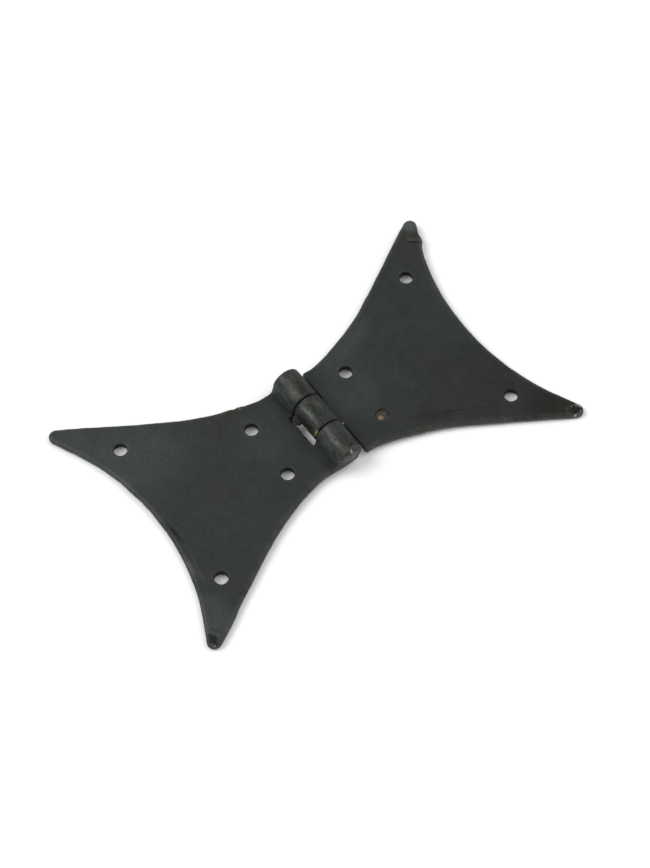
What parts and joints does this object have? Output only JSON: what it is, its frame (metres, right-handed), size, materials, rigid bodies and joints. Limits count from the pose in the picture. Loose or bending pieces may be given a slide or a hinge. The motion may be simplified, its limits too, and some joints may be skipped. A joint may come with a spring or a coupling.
{
  "type": "butterfly hinge",
  "caption": "Butterfly hinge of dark waxed sheet steel: flared leaves with pointed tips and screw holes, joined by rolled knuckles on a peened pin, for doors and lids.",
  "frame": {"origin": "on the plane of the leaves' backs, under the middle of the pin", "axes": "+X across the leaves towards the one-knuckle leaf, +Y along the pin, +Z from the leaves' backs to their fronts"},
  "size_m": [0.128, 0.0824, 0.0089],
  "materials": {
    "leaf_steel": "blackened and waxed, with some rust",
    "pin_steel": "hammered, blackened and waxed"
  },
  "bodies": {
    "pinned_leaf": {"two_knuckle_leaf": "leaf_steel", "hinge_pin": "pin_steel"},
    "swinging_leaf": {"one_knuckle_leaf": "leaf_steel"}
  },
  "joints": [
    {"name": "leaf_swing", "type": "hinge", "parent": "pinned_leaf", "child": "swinging_leaf", "pos_m": [0, 0, 0.00446], "axis": [0, -1, 0], "range_deg": [-95, 180]}
  ]
}
